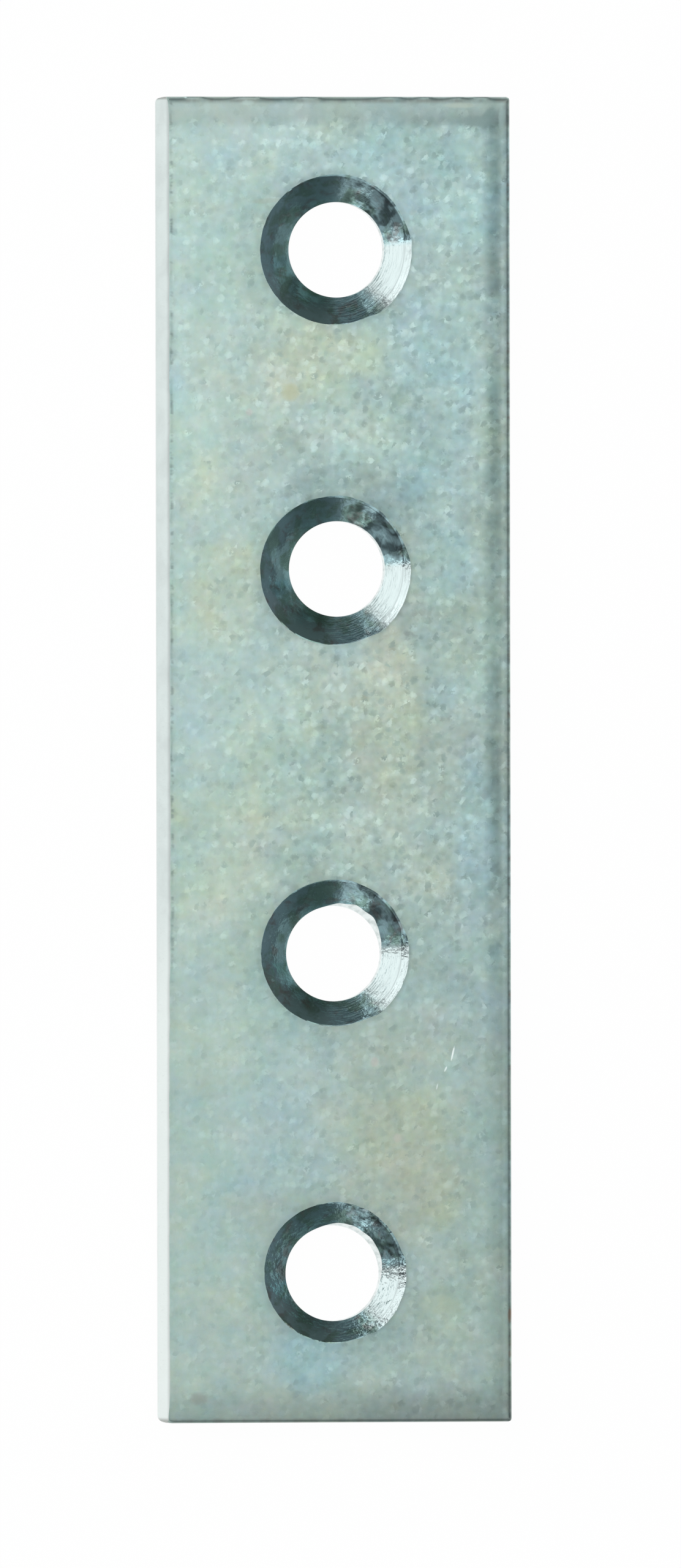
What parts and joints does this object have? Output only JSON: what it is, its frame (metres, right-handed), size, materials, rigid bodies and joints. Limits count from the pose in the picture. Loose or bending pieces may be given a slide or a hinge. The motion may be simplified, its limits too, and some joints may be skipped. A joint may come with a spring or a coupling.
{
  "type": "mending plate",
  "caption": "Flat zinc-plated steel strip with a row of countersunk screw holes, for joining two pieces of timber end to end or edge to edge.",
  "frame": {"origin": "centre of the back face, the face that lies on the timber", "axes": "+X across the plate towards its rolled long edge, +Y along it, +Z out of the countersunk front"},
  "size_m": [0.02, 0.075, 0.002],
  "materials": {
    "zinc_plated_steel": "dull bright zinc with a thin blue-green passivate, finely speckled, with bare cut edges and turned countersinks"
  },
  "bodies": {
    "root": {"plate": "zinc_plated_steel"}
  },
  "joints": []
}
